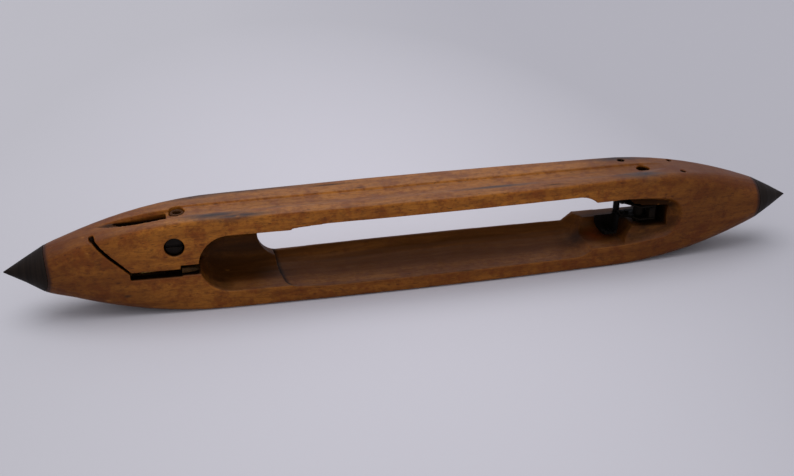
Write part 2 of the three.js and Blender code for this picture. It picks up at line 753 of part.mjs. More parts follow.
// Sheet of metal through stations along X, each a line of outer and inner points
function sheetSolid(stations) {
  const points = [];
  const triangles = [];
  const count = stations[0].outer.length;
  const ringCount = 2 * count;
  for (const { outer, inner } of stations) points.push(...outer, ...inner.slice().reverse());
  for (let s = 0; s + 1 < stations.length; s += 1) {
    for (let i = 0; i < ringCount; i += 1) {
      const a = s * ringCount + i;
      const b = s * ringCount + ((i + 1) % ringCount);
      triangles.push(a, b, b + ringCount, a, b + ringCount, a + ringCount);
    }
  }
  const last = (stations.length - 1) * ringCount;
  for (let i = 0; i + 1 < count; i += 1) {
    const [a, b, c, d] = [i, i + 1, ringCount - 2 - i, ringCount - 1 - i];
    triangles.push(a, c, b, a, d, c);
    triangles.push(last + a, last + b, last + c, last + a, last + c, last + d);
  }
  return solid(indexed(points, triangles));
}

function jawLine(xMouth, xDeep, radius) {
  const steps = 9;
  const line = [];
  for (let i = 0; i <= steps; i += 1) {
    const share = i / steps;
    const angle = radians(jawMouthAngle + (jawDeepAngle - jawMouthAngle) * share);
    const cut = jawCornerCut * Math.max(0, (share - jawCornerStart) / (1 - jawCornerStart));
    const x = xMouth + (xDeep - xMouth) * share + (xDeep < xMouth ? cut : 0);
    line.push([x, jawAxisDepth + radius * Math.cos(angle), -radius * Math.sin(angle)]);
  }
  return line;
}

function tongueLine(x, z) {
  const steps = 9;
  const line = [];
  for (let i = 0; i <= steps; i += 1) {
    line.push([x, armNarrowEdge + ((armDeepEdge - armNarrowEdge) * i) / steps, z]);
  }
  return line;
}

function springJaw(side) {
  const inner = -armInner - armThickness - gap;
  const outer = inner - armThickness;
  const right = boltX - tongueRightFromBolt;
  const bend = boltX - tongueLeftFromBolt;
  const face = boltX - jawRightFromBolt;
  const mouth = face - jawMouthLength;
  const deep = face - jawDeepLength;
  const outerRadius = jawInnerRadius + jawThickness;
  let jaw = sheetSolid([
    { outer: jawLine(mouth, deep, outerRadius), inner: jawLine(mouth, deep, jawInnerRadius) },
    { outer: jawLine(face, face, outerRadius), inner: jawLine(face, face, jawInnerRadius) },
    { outer: tongueLine(bend, outer), inner: tongueLine(bend, inner) },
    { outer: tongueLine(right, outer), inner: tongueLine(right, inner) },
  ]);
  for (let i = 0; i < jawGrooveCount; i += 1) {
    const middle = face - (jawMouthLength * (i + 1)) / (jawGrooveCount + 1);
    const disc = new THREE.CylinderGeometry(
      jawInnerRadius + jawGrooveDepth, jawInnerRadius + jawGrooveDepth, jawGrooveWidth, 36,
    );
    disc.rotateZ(Math.PI / 2).translate(middle, jawAxisDepth, 0);
    jaw = jaw.subtract(solid(disc));
  }
  for (const x of jawRivetPlaces()) {
    jaw = jaw.subtract(crossBar(x, jawRivetDepth(), jawRivetRadius + gap, outer - 1, inner + 1, 12));
  }
  return onSide(jaw, side);
}

function jawRivet(side, x) {
  const outer = -armInner - 2 * armThickness - gap;
  const seat = -armInner + gap;
  const shank = crossBar(x, jawRivetDepth(), jawRivetRadius, outer, seat + 0.1, 12);
  const head = crossBar(x, jawRivetDepth(), jawRivetHeadRadius, seat, seat + jawRivetHeadHeight, 12);
  return onSide(shank.add(head), side);
}

function clipBase() {
  const z = armInner - gap;
  const x = [boltX + baseLeftFromBolt, boltX + armRightFromBolt];
  const block = boxSolid(x, [armMouthEdge, armDeepEdge], [-z, z]);
  return block.subtract(crossBar(baseRivetX(), boltDepth, baseRivetRadius + gap, -z - 1, z + 1, 12));
}

function baseRivet() {
  const seat = armInner + armThickness + gap;
  const shank = crossBar(baseRivetX(), boltDepth, baseRivetRadius, -seat - 0.1, seat + 0.1, 12);
  const head = (from, to) => crossBar(baseRivetX(), boltDepth, baseRivetHeadRadius, from, to, 12);
  return shank.add(head(seat, seat + baseRivetHeadHeight)).add(head(-seat - baseRivetHeadHeight, -seat));
}

function clipSpacer() {
  const half = armInner - gap;
  const tube = crossBar(boltX, boltDepth, spacerRadius, -half, half, 20);
  return tube.subtract(crossBar(boltX, boltDepth, boltRadius + gap, -half - 1, half + 1));
}

function clipBolt() {
  const headSeat = wallAt(boltX) - boltSink - boltHeadHeight;
  const end = -wallAt(boltX) + boltSink;
  const shank = crossBar(boltX, boltDepth, boltRadius, end, headSeat + 0.1);
  const head = crossBar(boltX, boltDepth, boltHeadRadius, headSeat, headSeat + boltHeadHeight);
  const slot = boxSolid(
    [boltX - boltHeadRadius - 1, boltX + boltHeadRadius + 1],
    [boltDepth - screwSlotWidth / 2, boltDepth + screwSlotWidth / 2],
    [headSeat + boltHeadHeight - screwSlotDepth, headSeat + boltHeadHeight + 1],
  );
  return shank.add(head).subtract(slot);
}

function clipWasher() {
  const seat = -wallAt(boltX) + boltSink + nutHeight + 2 * gap;
  const disc = crossBar(boltX, boltDepth, washerRadius, seat, seat + washerThickness, 20);
  return disc.subtract(crossBar(boltX, boltDepth, boltRadius + gap, seat - 1, seat + washerThickness + 1));
}

function clipNut() {
  const start = -wallAt(boltX) + boltSink + gap;
  const radius = nutAcrossFlats / 2 / Math.cos(Math.PI / 6);
  const nut = crossBar(boltX, boltDepth, radius, start, start + nutHeight, 6);
  return nut.subtract(crossBar(boltX, boltDepth, boltRadius + gap, start - 1, start + nutHeight + 1));
}

function crossPin({ x, y, radius }) {
  const end = wallAt(x) - pinSink;
  return crossBar(x, y, radius, -end, end, 12);
}

// Assembly

function material(color, roughness, metalness) {
  return new THREE.MeshStandardMaterial({ color, roughness, metalness });
}

const shuttle = new THREE.Group();
shuttle.position.z = halfWidth;

function addPiece(name, manifold, finish) {
  const mesh = new THREE.Mesh(asGeometry(manifold), finish);
  mesh.name = name;
  shuttle.add(mesh);
}

addPiece("shuttle_body", shuttleBody(), material(0x8a5a33, 0.5, 0));
addPiece("left_tip", tip(-1), material(0x2a2723, 0.45, 0.8));
addPiece("right_tip", tip(1), material(0x2a2723, 0.45, 0.8));
addPiece("threading_block", threadingBlock(), material(0x5c594e, 0.5, 0.8));
addPiece("threading_block_screw", blockScrew(), material(0x33302b, 0.5, 0.8));
addPiece("thread_eye", threadEye(), material(0x9a8a70, 0.3, 0.3));
addPiece("tension_leaf", tensionLeaf(), material(0xa8894f, 0.4, 0.9));
addPiece("tension_leaf_screw", leafScrew(), material(0x8f7a4b, 0.4, 0.9));
addPiece("clip_base", clipBase(), material(0x2e2c28, 0.5, 0.8));
addPiece("clip_base_rivet", baseRivet(), material(0x3a3732, 0.5, 0.8));
addPiece("clip_spacer", clipSpacer(), material(0x35322d, 0.5, 0.8));
addPiece("clip_bolt", clipBolt(), material(0x3b2f28, 0.5, 0.8));
addPiece("clip_washer", clipWasher(), material(0x4a463f, 0.5, 0.8));
addPiece("clip_nut", clipNut(), material(0x3b3833, 0.5, 0.8));
for (const [name, side] of [["upper", 1], ["lower", -1]]) {
  addPiece(`${name}_spring_arm`, springArm(side), material(0x2b2925, 0.45, 0.85));
  addPiece(`${name}_jaw`, springJaw(side), material(0x26241f, 0.45, 0.85));
  jawRivetPlaces().forEach((x, i) => {
    addPiece(`${name}_jaw_rivet_${i + 1}`, jawRivet(side, x), material(0x55524a, 0.4, 0.85));
  });
}
for (const pin of crossPins) {
  addPiece(pin.name, crossPin(pin), material(0x1f1d1a, 0.5, 0.8));
}

export default shuttle;
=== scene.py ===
# %% [markdown]
# # A weaving shuttle for a power loom
#
# A shuttle carries a bobbin of weft yarn, the pirn, through the open warp of a loom. This one is a bar
# of hard, close-grained wood with a ground steel point on each end, a trough for the pirn, a spring
# clip that holds the pirn's head, and a block in the left end that threads itself. The CAD model
# already holds every piece at its real size, so this script keeps its frame and dresses it.

# %% Load the CAD frame
import json
import math

import bmesh
import bpy
from mathutils import Matrix, Vector
from mathutils.bvhtree import BVHTree

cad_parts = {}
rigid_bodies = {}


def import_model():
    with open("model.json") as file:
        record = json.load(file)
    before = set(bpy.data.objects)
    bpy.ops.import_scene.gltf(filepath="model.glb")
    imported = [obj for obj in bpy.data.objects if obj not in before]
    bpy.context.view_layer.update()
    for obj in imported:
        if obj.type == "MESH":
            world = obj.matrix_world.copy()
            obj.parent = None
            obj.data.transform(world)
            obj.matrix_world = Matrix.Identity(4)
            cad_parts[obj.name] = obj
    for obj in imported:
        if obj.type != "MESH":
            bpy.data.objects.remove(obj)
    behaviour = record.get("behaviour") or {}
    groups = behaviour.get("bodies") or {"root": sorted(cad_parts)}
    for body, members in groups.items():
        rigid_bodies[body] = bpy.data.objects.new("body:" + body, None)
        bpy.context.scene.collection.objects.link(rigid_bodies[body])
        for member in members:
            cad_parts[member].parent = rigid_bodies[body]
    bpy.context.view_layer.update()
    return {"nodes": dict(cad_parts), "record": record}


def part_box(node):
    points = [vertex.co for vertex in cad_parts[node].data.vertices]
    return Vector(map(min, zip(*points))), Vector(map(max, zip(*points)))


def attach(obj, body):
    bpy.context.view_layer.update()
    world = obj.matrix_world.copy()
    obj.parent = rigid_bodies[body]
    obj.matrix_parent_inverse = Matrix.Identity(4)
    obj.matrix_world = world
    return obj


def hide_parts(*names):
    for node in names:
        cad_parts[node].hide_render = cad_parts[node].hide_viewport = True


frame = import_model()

MM = 0.001
scene = bpy.context.scene
scene.view_settings.view_transform = "Standard"
print("CAD nodes:", len(frame["nodes"]))

# %% [markdown]
# ## Camera
#
# The shuttle lies on its back wall and the photographer looks down at it from the front and a little
# from the left. A camera could be aimed by eye, but here the perspective was solved from the straight
# edges of the trough and the ends of the steel points, so that each real millimetre falls on the right
# place of the picture. The values are the direction, the distance and the point that is looked at.

# %% Aim the camera
look_azimuth = math.radians(-12.42)
look_elevation = math.radians(27.31)
look_roll = math.radians(0.05)
look_distance = 563.7 * MM
look_target = Vector((-12.29, 0, 21.82)) * MM
focal_pixels = 1100
picture_width = 794

towards_camera = Vector((
    math.sin(look_azimuth) * math.cos(look_elevation),
    -math.cos(look_azimuth) * math.cos(look_elevation),
    math.sin(look_elevation),
))
right = (-towards_camera).cross(Vector((0, 0, 1))).normalized()
up = towards_camera.cross(right)
turn = Matrix.Rotation(-look_roll, 3, towards_camera)
axes = Matrix((turn @ right, turn @ up, towards_camera)).transposed()

camera_data = bpy.data.cameras.new("camera")
camera_data.sensor_width = 36
camera_data.lens = focal_pixels / picture_width * camera_data.sensor_width
camera = bpy.data.objects.new("camera", camera_data)
camera.matrix_world = Matrix.Translation(look_target + look_distance * towards_camera) @ axes.to_4x4()
scene.collection.objects.link(camera)
scene.camera = camera
print("camera at", [round(v, 4) for v in camera.matrix_world.translation])
print("lens", round(camera_data.lens, 2), "mm")

# %% [markdown]
# ## Small helpers for materials
#
# Every finish on the shuttle is made from nodes: there is no picture to wrap round it. Nodes can be
# joined by hand in the editor. In a script, a few short helpers keep that readable. They place a node
# and join it by the names of its sockets, do arithmetic, mix two colours, stretch a value between two
# limits, and start a group or a material.

# %% Helpers that place and join nodes
def place(tree, kind, settings=None, **sockets):
    node = tree.nodes.new("ShaderNode" + kind)
    for name, value in (settings or {}).items():
        setattr(node, name, value)
    for name, value in sockets.items():
        join(tree, value, node.inputs[name.replace("_", " ")])
    return node


def join(tree, value, socket):
    if isinstance(value, bpy.types.NodeSocket):
        tree.links.new(value, socket)
    else:
        socket.default_value = value


def calc(tree, operation, *values, clamp=False):
    node = place(tree, "Math", {"operation": operation, "use_clamp": clamp})
    for value, socket in zip(values, node.inputs):
        join(tree, value, socket)
    return node.outputs[0]


def mix(tree, amount, first, second):
    """Mixes two colours. A Mix node has sockets for each kind of data: 0, 6, 7 and 2 are the colour's."""
    node = place(tree, "Mix", {"data_type": "RGBA", "blend_type": "MIX", "clamp_factor": True})
    for value, index in ((amount, 0), (first, 6), (second, 7)):
        join(tree, value, node.inputs[index])
    return node.outputs[2]


def spread(tree, value, low, high, to_low=0.0, to_high=1.0):
    """Stretches a value so that low becomes to_low and high becomes to_high, and stops at both."""
    node = place(tree, "MapRange", {"clamp": True}, Value=value, From_Min=low, From_Max=high)
    join(tree, to_low, node.inputs["To Min"])
    join(tree, to_high, node.inputs["To Max"])
    return node.outputs["Result"]


def noise(tree, vector, scale, detail=3.0, roughness=0.5):
    node = place(tree, "TexNoise", Vector=vector, Scale=scale, Detail=detail, Roughness=roughness)
    return node.outputs["Fac"]


def stretched(tree, vector, factors):
    return place(tree, "Mapping", Vector=vector, Scale=factors).outputs["Vector"]


print("node helpers ready")

# %% Helpers that start a group or a material
def start_group(name, inputs, outputs):
    """A node group with named sockets. Returns the group and its input and output nodes."""
    group = bpy.data.node_groups.new(name, "ShaderNodeTree")
    for label, kind, value in inputs:
        socket = group.interface.new_socket(label, in_out="INPUT", socket_type="NodeSocket" + kind)
        if value is not None:
            socket.default_value = value
    for label, kind in outputs:
        group.interface.new_socket(label, in_out="OUTPUT", socket_type="NodeSocket" + kind)
    return group, group.nodes.new("NodeGroupInput"), group.nodes.new("NodeGroupOutput")


def use_group(tree, group, **sockets):
    node = tree.nodes.new("ShaderNodeGroup")
    node.node_tree = group
    for name, value in sockets.items():
        join(tree, value, node.inputs[name.replace("_", " ")])
    return node.outputs


def start_material(name):
    material = bpy.data.materials.new(name)
    material.use_nodes = True
    tree = material.node_tree
    shader = tree.nodes["Principled BSDF"]
    where = tree.nodes.new("ShaderNodeTexCoord").outputs["Object"]
    return material, tree, shader, where


print("group and material helpers ready")

# %% Helpers for masks and colours
spot_core = 0.2


def soft_spot(tree, vector, middle, half_sizes):
    """A mask that is 1 at a place and 0 beyond an ellipsoid round it. Both are in millimetres."""
    offset = place(tree, "VectorMath", {"operation": "SUBTRACT"})
    join(tree, vector, offset.inputs[0])
    offset.inputs[1].default_value = tuple(value * MM for value in middle)
    shrunk = place(tree, "VectorMath", {"operation": "DIVIDE"})
    join(tree, offset.outputs["Vector"], shrunk.inputs[0])
    shrunk.inputs[1].default_value = tuple(value * MM for value in half_sizes)
    distance = place(tree, "VectorMath", {"operation": "LENGTH"})
    join(tree, shrunk.outputs["Vector"], distance.inputs[0])
    return spread(tree, distance.outputs["Value"], spot_core, 1.0, 1.0, 0.0)


def highest(tree, masks):
    """The highest of several masks at each place."""
    top = masks[0]
    for mask in masks[1:]:
        top = calc(tree, "MAXIMUM", top, mask)
    return top


def rgb(red, green, blue):
    """A colour as it looks on a screen, 0 to 255, as the linear values that a shader takes."""

    def linear(channel):
        return channel / 12.92 if channel <= 0.04045 else ((channel + 0.055) / 1.055) ** 2.4

    return (*(linear(channel / 255) for channel in (red, green, blue)), 1.0)


print("mask and colour helpers ready")

# %% [markdown]
# ## Paper and light
#
# The shuttle lies on a pale grey-violet paper that runs on behind it, in a room that is otherwise
# rather dark, under one broad soft light from above. A modelled studio would need walls and many
# lamps. One wide plane, one light that comes from a wide patch of the sky, and a weak sky give the
# same soft faces, dark hollows and faint shadow. A sun lamp with a wide disc is used, because it
# lights the far paper as evenly as the near.

# %% Lay the paper
paper_half = 4.0
paper_mesh = bpy.data.meshes.new("paper")
shape = bmesh.new()
bmesh.ops.create_grid(shape, x_segments=2, y_segments=2, size=paper_half)
shape.to_mesh(paper_mesh)
shape.free()
paper = bpy.data.objects.new("paper", paper_mesh)
scene.collection.objects.link(paper)
print("paper", 2 * paper_half, "m square")

# %% Finish: paper
# Painted light: a pool of light painted round the shuttle, and painted shade to the right.
plain_paper, cloudy_paper = rgb(180, 179, 187), rgb(185, 184, 192)
paper_in_painted_shade, paper_in_painted_light = rgb(172, 171, 180), rgb(197, 195, 205)
cloud_size = 3.0
right_from = (-0.08, 0.18)
light_pool_middle, light_pool_half_sizes = (-20, 60, 0), (230, 420, 1000)

paper_finish, tree, shader, where = start_material("paper")
far_paper = mix(tree, noise(tree, where, cloud_size, detail=2.0), plain_paper, cloudy_paper)
shade_to_the_right = spread(tree, place(tree, "SeparateXYZ", Vector=where).outputs["X"], *right_from)
far_paper = mix(tree, shade_to_the_right, far_paper, paper_in_painted_shade)
painted_light_pool = soft_spot(tree, where, light_pool_middle, light_pool_half_sizes)
join(tree, mix(tree, painted_light_pool, far_paper, paper_in_painted_light), shader.inputs["Base Color"])
shader.inputs["Roughness"].default_value = 0.9
shader.inputs["Specular IOR Level"].default_value = 0.1
paper_mesh.materials.append(paper_finish)
print("finish", paper_finish.name)

# %% Hang the lamp
lamp_from = Vector((-0.15, 0.1, 1.15))
lamp_data = bpy.data.lights.new("broad_light", "SUN")
lamp_data.angle = math.radians(60)
lamp_data.energy = 1.5
lamp = bpy.data.objects.new("broad_light", lamp_data)
lamp.matrix_world = Matrix.Translation(lamp_from) @ lamp_from.to_track_quat("Z", "Y").to_matrix().to_4x4()
scene.collection.objects.link(lamp)
print("broad light from", [round(v, 2) for v in lamp_from.normalized()], "strength", lamp_data.energy)

# %% [markdown]
# ## Sky
#
# The camera and the gloss of metal and varnish should see the pale surroundings of the studio, but the
# hollows of the shuttle should stay dark. Light Path tells the sky who is asking: camera, glossy and
# transmission rays get the pale colour, and all others get a weaker light.

# %% Set the sky
world = bpy.data.worlds.new("studio")
world.use_nodes = True
sky = world.node_tree
seen = sky.nodes.new("ShaderNodeLightPath").outputs
asking = highest(sky, [seen["Is Camera Ray"], seen["Is Glossy Ray"], seen["Is Transmission Ray"]])
weak_light = (0.59, 0.59, 0.60, 1.0)
pale_studio = rgb(186, 184, 195)
backdrop = sky.nodes["Background"]
join(sky, mix(sky, asking, weak_light, pale_studio), backdrop.inputs["Color"])
backdrop.inputs["Strength"].default_value = 1.0
scene.world = world
print("sky set")

# %% [markdown]
# ## What wood grain does
#
# The body is a close-grained fruitwood. Its years show as soft, darker and lighter streaks, its fibres
# as fine lines, and its vessels as short dark dashes, all along the bar. A picture of wood could be
# wrapped on, but it would break at each cut. Noise that is stretched along the bar runs through the
# solid, so the pattern follows from face to face as it does in real wood. It is a group, because other
# finishes may want its parts with their own values.

# %% Group: grain
grain, given, result = start_group(
    "wood_grain",
    [("Vector", "Vector", None), ("Streak size", "Float", 170.0), ("Fibre size", "Float", 1300.0),
     ("Vessel amount", "Float", 0.5)],
    [("Streaks", "Float"), ("Fibres", "Float"), ("Vessels", "Float")],
)
bend_size, bend_by = 14.0, 0.012
bend = noise(grain, given.outputs["Vector"], bend_size, detail=2.0)
lifted = place(grain, "VectorMath", {"operation": "MULTIPLY_ADD"})
join(grain, bend, lifted.inputs[0])
lifted.inputs[1].default_value = (0.0, bend_by, bend_by)
join(grain, given.outputs["Vector"], lifted.inputs[2])
lifted = lifted.outputs["Vector"]

squeezed_streak, squeezed_fibre, squeezed_vessel = 0.06, 0.13, 0.2
along = stretched(grain, lifted, (squeezed_streak, 1.0, 1.0))
streaks = noise(grain, along, given.outputs["Streak size"], detail=5.0, roughness=0.66)
join(grain, streaks, result.inputs["Streaks"])
along = stretched(grain, lifted, (squeezed_fibre, 1.0, 1.0))
fibres = noise(grain, along, given.outputs["Fibre size"], detail=2.0, roughness=0.6)
join(grain, fibres, result.inputs["Fibres"])

dash_size, fewest_above, most_lower, dash_fade = 1500.0, 0.72, 0.16, 0.08
along = stretched(grain, lifted, (squeezed_vessel, 1.0, 1.0))
dashes = noise(grain, along, dash_size, detail=1.0, roughness=0.4)
lower = calc(grain, "MULTIPLY", given.outputs["Vessel amount"], most_lower)
dash_edge = calc(grain, "SUBTRACT", fewest_above, lower)
dash_end = calc(grain, "ADD", dash_edge, dash_fade)
join(grain, spread(grain, dashes, dash_edge, dash_end), result.inputs["Vessels"])
print("group", grain.name)

# %% [markdown]
# ## What use does to an edge and a corner
#
# Hands, warp threads and the loom's box rub the outer edges pale and smooth, while oil and fluff stay
# in the corners and darken them; the dark in the corners is also painted shade. The rounding of an
# edge can be read from the mesh itself: Pointiness is high on an outer edge and low in a corner.
# Cloudy noise breaks both up, so that the wear isn't an even line. The group gives the two masks, and
# each finish decides what they do to its colour.

# %% Group: wear, grime and shade
wear, given, result = start_group(
    "wear_grime_and_shade",
    [("Vector", "Vector", None), ("Patch size", "Float", 90.0)],
    [("Worn", "Float"), ("Grime and shade", "Float"), ("Patches", "Float")],
)
edge, corner = (0.51, 0.6), (0.495, 0.42)
worn_patch, grime_and_shade_patch = (0.3, 0.6), (0.2, 0.5)
point = place(wear, "NewGeometry").outputs["Pointiness"]
patches = noise(wear, given.outputs["Vector"], given.outputs["Patch size"], detail=5.0, roughness=0.6)
worn = calc(wear, "MULTIPLY", spread(wear, point, *edge), spread(wear, patches, *worn_patch))
# Grime and painted shade in the corners, where Pointiness is low.
grime_and_shade = calc(wear, "MULTIPLY", spread(wear, point, *corner), spread(wear, patches, *grime_and_shade_patch))
join(wear, worn, result.inputs["Worn"])
join(wear, grime_and_shade, result.inputs["Grime and shade"])
join(wear, patches, result.inputs["Patches"])
print("group", wear.name)

# %% [markdown]
# ## What a lathe, a file and years do to steel
#
# The points are turned and ground, the springs are blackened, and all of it has small scratches and
# dull spots. Fine noise that is squeezed along one axis reads as scratches across that axis, and a
# coarser noise makes the dull spots. One group serves each metal, which turns and scales the scratches
# with a Mapping node of its own.

# %% Group: metal marks
marks, given, result = start_group(
    "metal_marks",
    [("Vector", "Vector", None), ("Scratch size", "Float", 2500.0), ("Spot size", "Float", 260.0)],
    [("Scratches", "Float"), ("Spots", "Float")],
)
scratches = noise(marks, given.outputs["Vector"], given.outputs["Scratch size"], detail=2.0)
join(marks, scratches, result.inputs["Scratches"])
spot_edge = (0.35, 0.68)
spots = noise(marks, given.outputs["Vector"], given.outputs["Spot size"], detail=5.0, roughness=0.65)
join(marks, spread(marks, spots, *spot_edge), result.inputs["Spots"])
print("group", marks.name)

# %% [markdown]
# ## Where oil, dust and painted shade darken the inside
#
# The pocket, the trough and the hollows for the yarn and the clip have never been rubbed clean. Yarn
# oil and dust have stained the wide ones brown and the narrow ones black. The same masks also paint
# the shade that falls in them, darker the deeper they go. A mask could be painted by hand. Here the
# body's mesh will carry two measures at each point: how deep it lies under the outer skin, and how
# far it lies behind the mouth face. The group turns both, with the place along the bar, into three
# masks of stain and painted shade: a brown one, a darker one, and black. Each pair of numbers says
# where a mask starts and where it is full, in metres.

# %% Group: stain and shade of the hollows
stain_and_shade, given, result = start_group(
    "hollow_stain_and_shade",
    [("Vector", "Vector", None), ("Under skin", "Float", 0.0), ("Behind mouth", "Float", 0.0)],
    [("Stain and shade", "Float"), ("Deep", "Float"), ("Black", "Float")],
)
parts = place(stain_and_shade, "SeparateXYZ", Vector=given.outputs["Vector"])
under, behind = given.outputs["Under skin"], given.outputs["Behind mouth"]


def both(*masks):
    """Where all the masks are on."""
    shared = masks[0]
    for mask in masks[1:]:
        shared = calc(stain_and_shade, "MULTIPLY", shared, mask)
    return shared


axis_height = 0.025
uneven_size, depth_shake, length_shake = 70.0, 0.005, 0.016
just_inside, wall_from, brown_depth = (0.0003, 0.0010), (0.0190, 0.0200), (0.0050, 0.0150)

uneven = calc(stain_and_shade, "SUBTRACT", noise(stain_and_shade, given.outputs["Vector"], uneven_size, detail=4.0), 0.5)
shaky_depth = calc(stain_and_shade, "ADD", behind, calc(stain_and_shade, "MULTIPLY", uneven, depth_shake))
shaky_x = calc(stain_and_shade, "ADD", parts.outputs["X"], calc(stain_and_shade, "MULTIPLY", uneven, length_shake))
off_axis = calc(stain_and_shade, "ABSOLUTE", calc(stain_and_shade, "SUBTRACT", parts.outputs["Z"], axis_height))
between_walls = spread(stain_and_shade, off_axis, *wall_from, 1.0, 0.0)
hollow = both(spread(stain_and_shade, under, *just_inside), between_walls)
# Brown stain and painted shade, darker further behind the mouth.
join(stain_and_shade, both(hollow, spread(stain_and_shade, shaky_depth, *brown_depth)), result.inputs["Stain and shade"])
print("group", stain_and_shade.name, "with the brown stain")

# %% [markdown]
# ## The darkest wood inside
#
# In the pocket, round the clip and low in the trough the wood is a very dark brown, partly stain and
# partly painted shade, most of all in the scoop beside the clip and on the pocket's round end. Each of
# these places is a mask of its own.
# They could be laid on the wood one by one, but where two overlap the wood would darken twice. Taking
# the highest of them at each point avoids that.

# %% Group: stain and shade of the hollows, the deep stain and shade
pocket_from, pocket_most = (-0.062, -0.078), 0.88
clip_from, nearer_at_clip = (0.078, 0.100), 0.0055
low_from, low_most = (-0.002, 0.012), 0.7
deep_from = (0.0090, 0.0165)
scoop_from, scoop_depth, scoop_most = (0.1000, 0.1120), (0.0004, 0.0028), 0.85
end_from, end_depth, end_most = (-0.0960, -0.1020), (0.0004, 0.0030), 0.8

# Darker in the pocket, by the clip and towards the back wall: stain and painted shade.
pocket = spread(stain_and_shade, shaky_x, *pocket_from, 0.0, pocket_most)
clip_end = spread(stain_and_shade, shaky_x, *clip_from)
low_in = calc(stain_and_shade, "MULTIPLY", spread(stain_and_shade, parts.outputs["Y"], *low_from), low_most)
near_clip = calc(stain_and_shade, "MULTIPLY", clip_end, nearer_at_clip)
deep_enough = spread(stain_and_shade, calc(stain_and_shade, "ADD", shaky_depth, near_clip), *deep_from)
dark_places = both(highest(stain_and_shade, [pocket, clip_end, low_in]), deep_enough)
# Painted shade in the scoop beside the clip.
shade_in_scoop = spread(stain_and_shade, shaky_x, *scoop_from)
shade_in_scoop = both(shade_in_scoop, spread(stain_and_shade, shaky_depth, *scoop_depth, 0.0, scoop_most))
# Painted shade, with stain, on the pocket's round end.
pocket_end = spread(stain_and_shade, parts.outputs["X"], *end_from)
pocket_end = both(pocket_end, spread(stain_and_shade, shaky_depth, *end_depth, 0.0, end_most))
deep_stain_and_shade = highest(stain_and_shade, [dark_places, shade_in_scoop, pocket_end])
join(stain_and_shade, both(hollow, deep_stain_and_shade), result.inputs["Deep"])
print("deep stain joined")

# %% [markdown]
# ## The line under the step
#
# A thin dark line, a painted shadow, lies where the trough steps down beside the pocket. The step isn't
# straight: it slants, and it curves away at the mouth. A groove could be cut for the line, but it is
# only shade. The four values of the step's curve, the same as in the body's source, draw it with nodes.

# %% Group: stain and shade of the hollows, the step's shadow
step_at_mouth, step_slant, mouth_curve, curve_depth = -0.0670, 0.12, 0.0042, 0.0018
line_edge, line_fade, line_most = (-0.0004, 0.0002), (0.0005, 0.0026), 0.85

# A painted shadow along the foot of the step.
straightened = calc(stain_and_shade, "EXPONENT", calc(stain_and_shade, "DIVIDE", behind, -curve_depth))
lean = calc(stain_and_shade, "ADD", calc(stain_and_shade, "MULTIPLY", behind, step_slant), mouth_curve)
lean = calc(stain_and_shade, "SUBTRACT", lean, calc(stain_and_shade, "MULTIPLY", straightened, mouth_curve))
step_x = calc(stain_and_shade, "SUBTRACT", step_at_mouth, lean)
past_step = calc(stain_and_shade, "SUBTRACT", parts.outputs["X"], step_x)
on_line = spread(stain_and_shade, past_step, *line_edge)
step_shadow = both(hollow, on_line, spread(stain_and_shade, past_step, *line_fade, line_most, 0.0))
print("step line drawn")

# %% [markdown]
# ## The black holes
#
# The thread slot, the bottom of the hollow by the eye, the cross holes and the mortise behind the clip
# are painted black, for the oil in them and for the shade that fills them, and the roof over the
# mortise, which faces down, is painted dark as shade. They could get a material of their own, but its
# border would be sharp. The depth under the skin finds them, and the groove's own depth is taken off
# where the holes start in it.

# %% Group: stain and shade of the hollows, the black holes
slot_from, slot_depth, slot_most = (-0.1120, -0.1135), (0.0005, 0.0014), 0.95
recess_from, recess_depth, recess_most = (-0.1165, -0.1180), (0.0014, 0.0040), 0.92
over_wall_from, right_end_from = (0.0145, 0.0155), (0.1040, 0.1050)
groove_middle, groove_side, groove_end, groove_floor = -0.0031, (0.0062, 0.0070), (0.1340, 0.1360), 0.0014
hole_depth, hole_most = (0.0003, 0.0007), 0.95
mortise_from, mortise_depth, mortise_most = (0.1150, 0.1200), (0.0035, 0.0085), 0.85
roof_from, roof_depth, roof_most = (0.0265, 0.0300), (0.0010, 0.0035), 0.7

# Black for oil and painted shade in the thread slot, the eye's hollow, the holes and the mortise.
yarn_slot = both(spread(stain_and_shade, parts.outputs["X"], *slot_from), between_walls)
yarn_slot = both(yarn_slot, spread(stain_and_shade, under, *slot_depth, 0.0, slot_most))
over_wall = spread(stain_and_shade, off_axis, *over_wall_from)
eye_recess = both(spread(stain_and_shade, parts.outputs["X"], *recess_from), over_wall)
eye_recess = both(eye_recess, spread(stain_and_shade, under, *recess_depth, 0.0, recess_most))
right_end = spread(stain_and_shade, parts.outputs["X"], *right_end_from)
from_groove = calc(stain_and_shade, "ABSOLUTE", calc(stain_and_shade, "SUBTRACT", parts.outputs["Y"], groove_middle))
in_groove = calc(stain_and_shade, "SUBTRACT", 1.0, spread(stain_and_shade, from_groove, *groove_side))
in_groove = both(in_groove, spread(stain_and_shade, parts.outputs["X"], *groove_end, 1.0, 0.0))
under_groove = calc(stain_and_shade, "SUBTRACT", under, calc(stain_and_shade, "MULTIPLY", in_groove, groove_floor))
wall_holes = both(right_end, over_wall, spread(stain_and_shade, under_groove, *hole_depth, 0.0, hole_most))
mortise = both(hollow, spread(stain_and_shade, parts.outputs["X"], *mortise_from))
mortise = both(mortise, spread(stain_and_shade, shaky_depth, *mortise_depth, 0.0, mortise_most))
